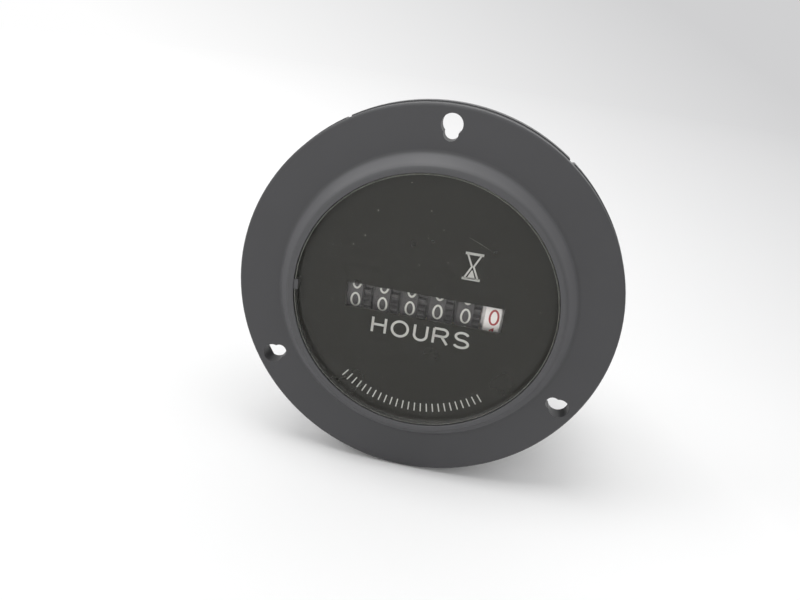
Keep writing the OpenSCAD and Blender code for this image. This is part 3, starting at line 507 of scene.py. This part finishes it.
def trace(stroke, half_w, half_h):
    """Points along a stroke, close enough together to bend over a drum, and whether it closes."""
    corners = []
    for kind, data in stroke:
        if kind == "line":
            corners += [Vector((x * half_w, y * half_h)) for x, y in data]
            continue
        cx, cy, rx, ry, start, end = data
        steps = max(2, round(abs(math.radians(end - start)) / ARC_STEP))
        for i in range(steps + 1):
            a = math.radians(start + (end - start) * i / steps)
            x, y = cx + rx * math.cos(a), cy + ry * math.sin(a)
            corners.append(Vector((x * half_w, y * half_h)))
    points = [corners[0]]
    for p in corners[1:]:
        start = points[-1]
        gap = p - start
        if gap.length < SAME_POINT:
            continue
        steps = math.ceil(gap.length / STROKE_STEP)
        points += [start + gap * (i / steps) for i in range(1, steps + 1)]
    closed = (points[0] - points[-1]).length < CLOSING_GAP
    return (points[:-1] if closed else points), closed


def sides(points, closed, half):
    """Left and right edge of a ribbon along the points, mitred at its corners."""
    pairs = []
    count = len(points)
    for i, p in enumerate(points):
        ways = []
        if closed or i > 0:
            ways.append((p - points[i - 1]).normalized())
        if closed or i < count - 1:
            ways.append((points[(i + 1) % count] - p).normalized())
        way = sum(ways, Vector((0, 0))).normalized()
        across = Vector((-way.y, way.x))
        turn = max(MITRE_LEAST, abs(across.dot(Vector((-ways[0].y, ways[0].x)))))
        pairs.append((p + across * half / turn, p - across * half / turn))
    return pairs


def tube(first, count, closed):
    """Faces round a row of sections with four corners each, capped unless the row closes."""
    faces = []
    for i in range(count if closed else count - 1):
        a, b = first + 4 * i, first + 4 * ((i + 1) % count)
        faces += [[a + k, a + (k + 1) % 4, b + (k + 1) % 4, b + k] for k in range(4)]
    if not closed:
        end = first + 4 * (count - 1)
        faces += [[first + 3, first + 2, first + 1, first], [end, end + 1, end + 2, end + 3]]
    return faces


def add_object(name, data):
    """An object in the scene, made of the given data."""
    obj = bpy.data.objects.new(name, data)
    bpy.context.scene.collection.objects.link(obj)
    return obj


def add_mesh(name, verts, faces, material):
    """An object made of the given faces."""
    mesh = bpy.data.meshes.new(name)
    mesh.from_pydata(verts, [], faces)
    mesh.update()
    mesh.materials.append(material)
    return add_object(name, mesh)


class Sheet:
    """Closed thin solids that lie on a surface, gathered into one mesh."""

    def __init__(self, place=None):
        self.place = place
        self.verts = []
        self.faces = []

    def ribbon(self, pairs, closed=False):
        """A ribbon of ink between pairs of edge points."""
        self.faces += tube(len(self.verts), len(pairs), closed)
        for left, right in pairs:
            for p, lift in ((left, INK), (right, INK), (right, -INK_SINK), (left, -INK_SINK)):
                self.verts.append(self.place(p.x, p.y, lift))

    def path(self, points, half, closed=False):
        """A ribbon of even width along the points."""
        self.ribbon(sides(points, closed, half), closed)

    def glyph(self, letter, width, height, stroke_w):
        for stroke in GLYPHS[letter]:
            points, closed = trace(stroke, (width - stroke_w) / 2, (height - stroke_w) / 2)
            self.path(points, stroke_w / 2, closed)

    def fleck(self, x, z, radius):
        """A low uneven cone."""
        first, count = len(self.verts), FLECK_SIDES
        for i in range(count):
            a = 2 * math.pi * i / count
            r = radius * random.uniform(*FLECK_UNEVEN)
            self.verts.append(self.place(x + r * math.cos(a), z + r * math.sin(a), -INK_SINK))
        self.verts.append(self.place(x, z, FLECK_RISE * radius))
        self.faces.append([first + i for i in reversed(range(count))])
        self.faces += [[first + i, first + (i + 1) % count, first + count] for i in range(count)]

    def piece(self, name, material, body):
        obj = add_mesh(name, self.verts, self.faces, material)
        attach(obj, body)


def on_drum(x, angle):
    """Places ink on a number wheel, upright at the angle above the wheel's front."""
    def place(u, v, lift):
        a = angle + v / DRUM_R
        r = DRUM_R + lift
        return (x + u, WHEEL_AXIS.y - r * math.cos(a), WHEEL_AXIS.z + r * math.sin(a))
    return place


def on_flat(y, at=Vector()):
    """Places ink on a flat front, about a point."""
    def place(u, v, lift):
        return (at.x + u, y - lift, at.z + v)
    return place


def print_digits(materials):
    """Ten digits round each number wheel, the next one always coming up from below."""
    for wheel in WHEELS:
        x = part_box(wheel + "_wheel")[0].x + DIGIT_FROM_LEFT
        sheet = Sheet()
        for digit in range(10):
            sheet.place = on_drum(x, math.radians(ZERO_TILT[wheel]) - digit * DIGIT_TURN)
            sheet.glyph(str(digit), DIGIT_W, DIGIT_H, DIGIT_STROKE)
        slot = "red_print" if wheel == "tenths" else "white_print"
        sheet.piece(wheel + "_digits", materials[slot], wheel + "_wheel")


def print_word(materials):
    """The unit below the window."""
    total = sum(w for _, w in WORD) * MM + WORD_GAP * (len(WORD) - 1)
    x = WORD_AT.x - total / 2
    sheet = Sheet()
    for letter, width in WORD:
        width *= MM
        sheet.place = on_flat(DIAL_Y, Vector((x + width / 2, 0, WORD_AT.z)))
        sheet.glyph(letter, width, WORD_H, WORD_STROKE)
        x += width + WORD_GAP
    sheet.piece("unit_word", materials["white_print"], "meter")


def print_hourglass(materials):
    """A plain hourglass sign above the window."""
    w, h = GLASS_W / 2, GLASS_H / 2
    bulb, neck = GLASS_BULB * w, GLASS_NECK * w
    sheet = Sheet(on_flat(DIAL_Y, GLASS_AT))
    for level in (-h, h):
        sheet.path([Vector((-w, level)), Vector((w, level))], WORD_STROKE / 2)
    for side in (-1, 1):
        wall = [Vector((side * bulb, h)), Vector((side * neck, 0)), Vector((side * bulb, -h))]
        sheet.path(wall, GLASS_WALL_HALF)
    heap = [(HEAP_FOOT * w, -h), (HEAP_PEAK * w, HEAP_LEVEL * h)]
    sheet.ribbon([(Vector((-half, level)), Vector((half, level))) for half, level in heap])
    sheet.piece("hourglass_sign", materials["white_print"], "meter")


def print_ticks(materials):
    """Plain ticks along the foot of the dial."""
    sheet = Sheet(on_flat(DIAL_Y))
    for i in range(TICK_COUNT):
        a = -math.pi / 2 + TICK_SPAN * (2 * i / (TICK_COUNT - 1) - 1)
        way = Vector((math.cos(a), math.sin(a)))
        sheet.path([way * r for r in TICK_R], TICK_W / 2)
    sheet.piece("dial_ticks", materials["white_print"], "meter")


def build_lens(materials):
    """The lens with its key notch and bevel, its back in optical contact with the dial."""
    key_angle = math.asin(KEY_HALF / LENS_R)
    turn = 2 * (math.pi - key_angle) / LENS_STEPS
    angles = [key_angle - math.pi + turn * i for i in range(LENS_STEPS + 1)]
    rim = [Vector((math.cos(a), math.sin(a))) for a in angles]
    notch = [Vector((-KEY_R, KEY_HALF)), Vector((-KEY_R, -KEY_HALF))]
    back = LENS_HIGH.y + LENS_SINK
    levels = [(LENS_Y, LENS_R - LENS_BEVEL), (LENS_Y + LENS_BEVEL, LENS_R), (back, LENS_R)]
    verts = [(p.x, y, p.y) for y, r in levels for p in [v * r for v in rim] + notch]
    count = len(rim) + len(notch)
    faces = [list(range(count)), list(range(count * 3 - 1, count * 2 - 1, -1))]
    for level in range(2):
        for i in range(count):
            a, b = level * count + i, level * count + (i + 1) % count
            faces.append([a + count, b + count, b, a])
    pane = add_mesh("lens_pane", verts, faces, materials["lens"])
    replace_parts(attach(pane, "meter"), "lens")
    build_cut_edge(rim)


def build_cut_edge(rim):
    """The sawn edge of the lens, which shows as a thin pale line."""
    section = [(LENS_R + out * MM, LENS_Y + back * MM) for out, back in CUT_EDGE]
    verts = [(v.x * r, y, v.y * r) for v in rim for r, y in section]
    faces = tube(0, len(rim), False)
    edge = add_mesh("lens_edge", verts, faces, frosted("cut_acrylic", srgb(150, 151, 145)))
    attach(edge, "meter")


def wear_lens():
    """Dust and a scratch on the front of the lens."""
    dust = Sheet(on_flat(LENS_Y))
    for x, z, r in DUST:
        dust.fleck(x * MM, z * MM, r * MM)
    for _ in range(DUST_COUNT):
        a = random.uniform(0, 2 * math.pi)
        r = DUST_REACH * math.sqrt(random.random())
        dust.fleck(r * math.cos(a), r * math.sin(a), random.uniform(*DUST_R) * MM)
    dust.piece("lens_dust", frosted("dust", srgb(160, 156, 146)), "meter")
    path = [Vector(p) * MM for p in SCRATCH]
    across = (path[-1] - path[0]).orthogonal().normalized() * MM / 2
    scratch = Sheet(on_flat(LENS_Y))
    scratch.ribbon([(p + across * w, p - across * w) for p, w in zip(path, SCRATCH_W)])
    rough = frosted("scratched_acrylic", srgb(110, 110, 102))
    scratch.piece("lens_scratch", rough, "meter")


def dress(materials):
    """Gives each node the finish of its slot."""
    for part in frame["record"]["subparts"]:
        obj = frame["nodes"][part["node"]]
        obj.data.materials.clear()
        obj.data.materials.append(materials[part["material_slot"]])


def floor_material():
    """Pale floor that keeps the shadow, greys to the upper right with painted shade, and fades out far away."""
    n = new_material("pale_floor")
    place = n.coords()
    way = n.vector("NORMALIZE", n.vector("SUBTRACT", place, CAMERA_AT - Vector((0, 0, FLOOR_Z))))
    near = n.surface({"Roughness": FLOOR_ROUGH, "Specular IOR Level": FLOOR_GLOSS}, {
        "Base Color": n.backdrop(way, white=FLOOR_WHITE),
        "Normal": n.bump(n.noise(FLOOR_GRAIN), FLOOR_DEPTH),
    })
    far = n.add("Emission")
    n.link(n.backdrop(way), far.inputs["Color"])
    fade = n.span(n.vector("LENGTH", place), 0, 1, at=FLOOR_FADE)
    return n.done(n.mix(fade, near, far))


def build_floor():
    """A wide round floor under the lowest point of the meter."""
    turns = [2 * math.pi * i / FLOOR_STEPS for i in range(FLOOR_STEPS)]
    rim = [(FLOOR_R * math.cos(a), FLOOR_R * math.sin(a), 0) for a in turns]
    floor = add_mesh("floor", rim, [list(range(FLOOR_STEPS))], floor_material())
    floor.location = (0, 0, FLOOR_Z)


def build_world():
    """The backdrop to the eye, white in reflections, and a softer light on everything else."""
    world = bpy.data.worlds.new("studio")
    bpy.context.scene.world = world
    n = Nodes(world, "OutputWorld")
    path = n.add("LightPath")
    mirrored = n.add("Math", operation="MAXIMUM")
    n.link(path.outputs["Is Glossy Ray"], mirrored.inputs[0])
    n.link(path.outputs["Is Transmission Ray"], mirrored.inputs[1])
    air = n.add("Background", {"Color": WHITE})
    n.link(n.span(mirrored.outputs[0], AMBIENT, 1, at=WHOLE), air.inputs["Strength"])
    seen = n.add("Background")
    # the backdrop seen by the eye greys to the upper right with the same painted shade as the floor
    n.link(n.backdrop(n.add("TexCoord").outputs["Generated"]), seen.inputs["Color"])
    n.done(n.mix(path.outputs["Is Camera Ray"], air, seen))


def build_lamps():
    """Broad lamps, as bright near as far."""
    for name, way, strength, width in LAMPS:
        light = bpy.data.lights.new(name, "SUN")
        light.energy = strength
        light.angle = math.radians(width)
        lamp = add_object(name, light)
        lamp.rotation_mode = "QUATERNION"
        lamp.rotation_quaternion = (-way).to_track_quat("-Z", "Y")


def build_camera():
    """The photograph's viewpoint."""
    data = bpy.data.cameras.new("camera")
    data.sensor_width = CAMERA_SENSOR
    data.lens = CAMERA_LENS
    data.clip_start = CAMERA_NEAR
    camera = add_object("camera", data)
    camera.location = CAMERA_AT
    camera.rotation_mode = "QUATERNION"
    level = (CAMERA_AIM - CAMERA_AT).to_track_quat("-Z", "Y")
    camera.rotation_quaternion = level @ Matrix.Rotation(CAMERA_ROLL, 4, "Z").to_quaternion()
    bpy.context.scene.camera = camera


def main():
    random.seed(SEED)
    build_camera()
    materials = finishes()
    dress(materials)
    print_digits(materials)
    print_word(materials)
    print_hourglass(materials)
    print_ticks(materials)
    build_lens(materials)
    wear_lens()
    build_floor()
    build_world()
    build_lamps()
    bpy.context.scene.view_settings.view_transform = "Standard"


main()
